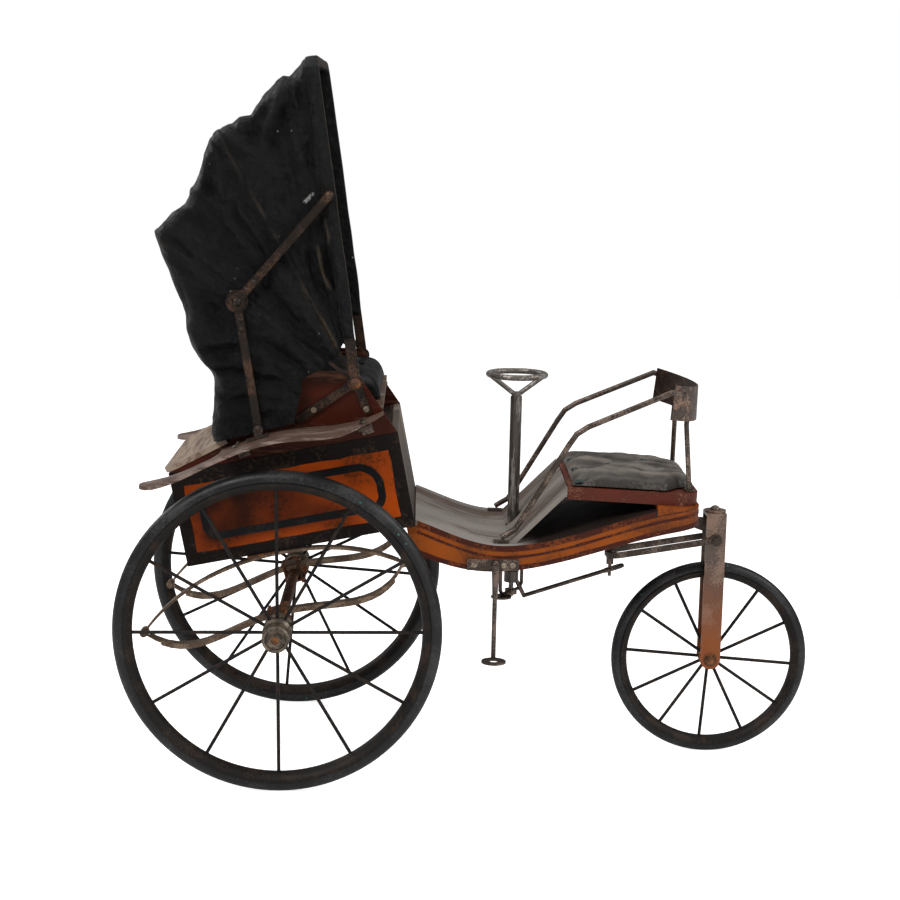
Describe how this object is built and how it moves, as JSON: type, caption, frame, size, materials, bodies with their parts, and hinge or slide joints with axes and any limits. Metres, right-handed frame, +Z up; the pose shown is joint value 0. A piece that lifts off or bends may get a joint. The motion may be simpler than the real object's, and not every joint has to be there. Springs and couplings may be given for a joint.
{
  "type": "child's carriage tricycle",
  "caption": "Child's tricycle in the form of a hooded carriage: spoked wheels, leaf springs, wooden body with seats face to face, folding hood, and front wheel steered by a ring handle.",
  "frame": {"origin": "middle of the bounding box, on the ground", "axes": "+X forward, towards the front wheel; +Y to the left; +Z up"},
  "size_m": [1.1209, 0.57, 1.1291],
  "materials": {
    "tyre": "worn, matt",
    "wheel_metal": "worn paint over rust",
    "hub_iron": "rusty",
    "spring_steel": "rusty",
    "body_panel": "worn orange paint with black borders",
    "grey_wood": "weathered",
    "dark_wood": "dark, worn",
    "arm_panel": "worn dark red paint",
    "bare_wood": "weathered, bare",
    "sill_paint": "worn yellow-orange paint with red lines",
    "red_paint": "worn red paint",
    "cushion": "creased",
    "iron": "worn black paint over rust",
    "plate_steel": "worn",
    "brass": "worn",
    "bow_wood": "stained",
    "hood_leather": "black, worn brown on the ridges"
  },
  "bodies": {
    "root": {"rear_axle": "hub_iron", "axle_nuts": "hub_iron", "spring_upper_leaves": "spring_steel", "spring_lower_leaves": "spring_steel", "spring_bolts": "spring_steel", "spring_clips": "spring_steel", "box_sides": "body_panel", "box_front_wall": "grey_wood", "box_back": "dark_wood", "box_boards": "dark_wood", "arm_panels": "arm_panel", "seat_front_board": "dark_wood", "rear_seat_board": "dark_wood", "rear_cushion": "cushion", "seat_back": "dark_wood", "wing_right": "bare_wood", "wing_left": "bare_wood", "wing_brackets": "iron", "rear_deck": "bare_wood", "sill_boards": "sill_paint", "nose_block": "red_paint", "floor_board": "grey_wood", "riser_board": "grey_wood", "front_seat_board": "red_paint", "front_cushion": "cushion", "hand_rails": "iron", "backrest_plate": "plate_steel", "backrest_posts": "iron", "step_iron": "iron", "screws": "brass", "head_bracket": "iron", "column_stirrup": "iron", "hood_plates": "iron", "hood_pivots": "iron", "iron_feet": "iron"},
    "steering_column": {"steering_column": "iron", "ring_handle": "iron", "crank_rod": "iron"},
    "fork": {"fork": "iron", "kingpin": "iron", "yoke": "iron", "front_axle": "hub_iron"},
    "front_wheel": {"front_hub": "hub_iron", "front_rim": "wheel_metal", "front_tyre": "tyre"},
    "right_wheel": {"right_hub": "hub_iron", "right_rim": "wheel_metal", "right_tyre": "tyre"},
    "left_wheel": {"left_hub": "hub_iron", "left_rim": "wheel_metal", "left_tyre": "tyre"},
    "rear_bow": {"rear_bow": "iron", "canopy_rear": "hood_leather"},
    "mid_bow": {"mid_bow": "iron", "canopy_mid": "hood_leather"},
    "front_bow": {"front_bow": "bow_wood", "canopy_front": "hood_leather"},
    "lower_irons": {"lower_irons": "iron"},
    "upper_irons": {"upper_irons": "iron"}
  },
  "joints": [
    {"name": "steering", "type": "hinge", "parent": "root", "child": "steering_column", "pos_m": [0.0635, 0, 0], "axis": [0, 0, 1], "range_deg": [-16, 16]},
    {"name": "fork_turn", "type": "hinge", "parent": "root", "child": "fork", "pos_m": [0.3975, 0, 0], "axis": [0, 0, 1], "range_deg": [-16.5, 16.5]},
    {"name": "front_wheel_spin", "type": "hinge", "parent": "fork", "child": "front_wheel", "pos_m": [0.3975, 0, 0.163], "axis": [0, 1, 0], "continuous": true},
    {"name": "right_wheel_spin", "type": "hinge", "parent": "root", "child": "right_wheel", "pos_m": [-0.3065, 0, 0.254], "axis": [0, 1, 0], "continuous": true},
    {"name": "left_wheel_spin", "type": "hinge", "parent": "root", "child": "left_wheel", "pos_m": [-0.3065, 0, 0.254], "axis": [0, 1, 0], "continuous": true},
    {"name": "hood_fold", "type": "hinge", "parent": "root", "child": "rear_bow", "pos_m": [-0.19387, 0, 0.63635], "axis": [0, -1, 0], "range_deg": [0, 24], "deforming": ["canopy_rear"]},
    {"name": "mid_bow_fold", "type": "hinge", "parent": "rear_bow", "child": "mid_bow", "pos_m": [-0.19387, 0, 0.63635], "axis": [0, -1, 0], "range_deg": [0, 17.2], "deforming": ["canopy_mid"]},
    {"name": "front_bow_fold", "type": "hinge", "parent": "mid_bow", "child": "front_bow", "pos_m": [-0.19387, 0, 0.63635], "axis": [0, -1, 0], "range_deg": [0, 14.2], "deforming": ["canopy_front"]},
    {"name": "lower_iron_fold", "type": "hinge", "parent": "root", "child": "lower_irons", "pos_m": [-0.34087, 0, 0.56198], "axis": [0, -1, 0], "range_deg": [0, 77.92]},
    {"name": "upper_iron_fold", "type": "hinge", "parent": "lower_irons", "child": "upper_irons", "pos_m": [-0.37491, 0, 0.75906], "axis": [0, -1, 0], "range_deg": [-62.17, 0]}
  ],
  "couplings": [
    {"joint": "fork_turn", "follows": "steering", "ratio": -1.01},
    {"joint": "mid_bow_fold", "follows": "hood_fold", "ratio": 0.70833},
    {"joint": "front_bow_fold", "follows": "hood_fold", "ratio": 0.58333},
    {"joint": "lower_iron_fold", "follows": "hood_fold", "ratio": 3.234},
    {"joint": "upper_iron_fold", "follows": "hood_fold", "ratio": -2.578}
  ]
}
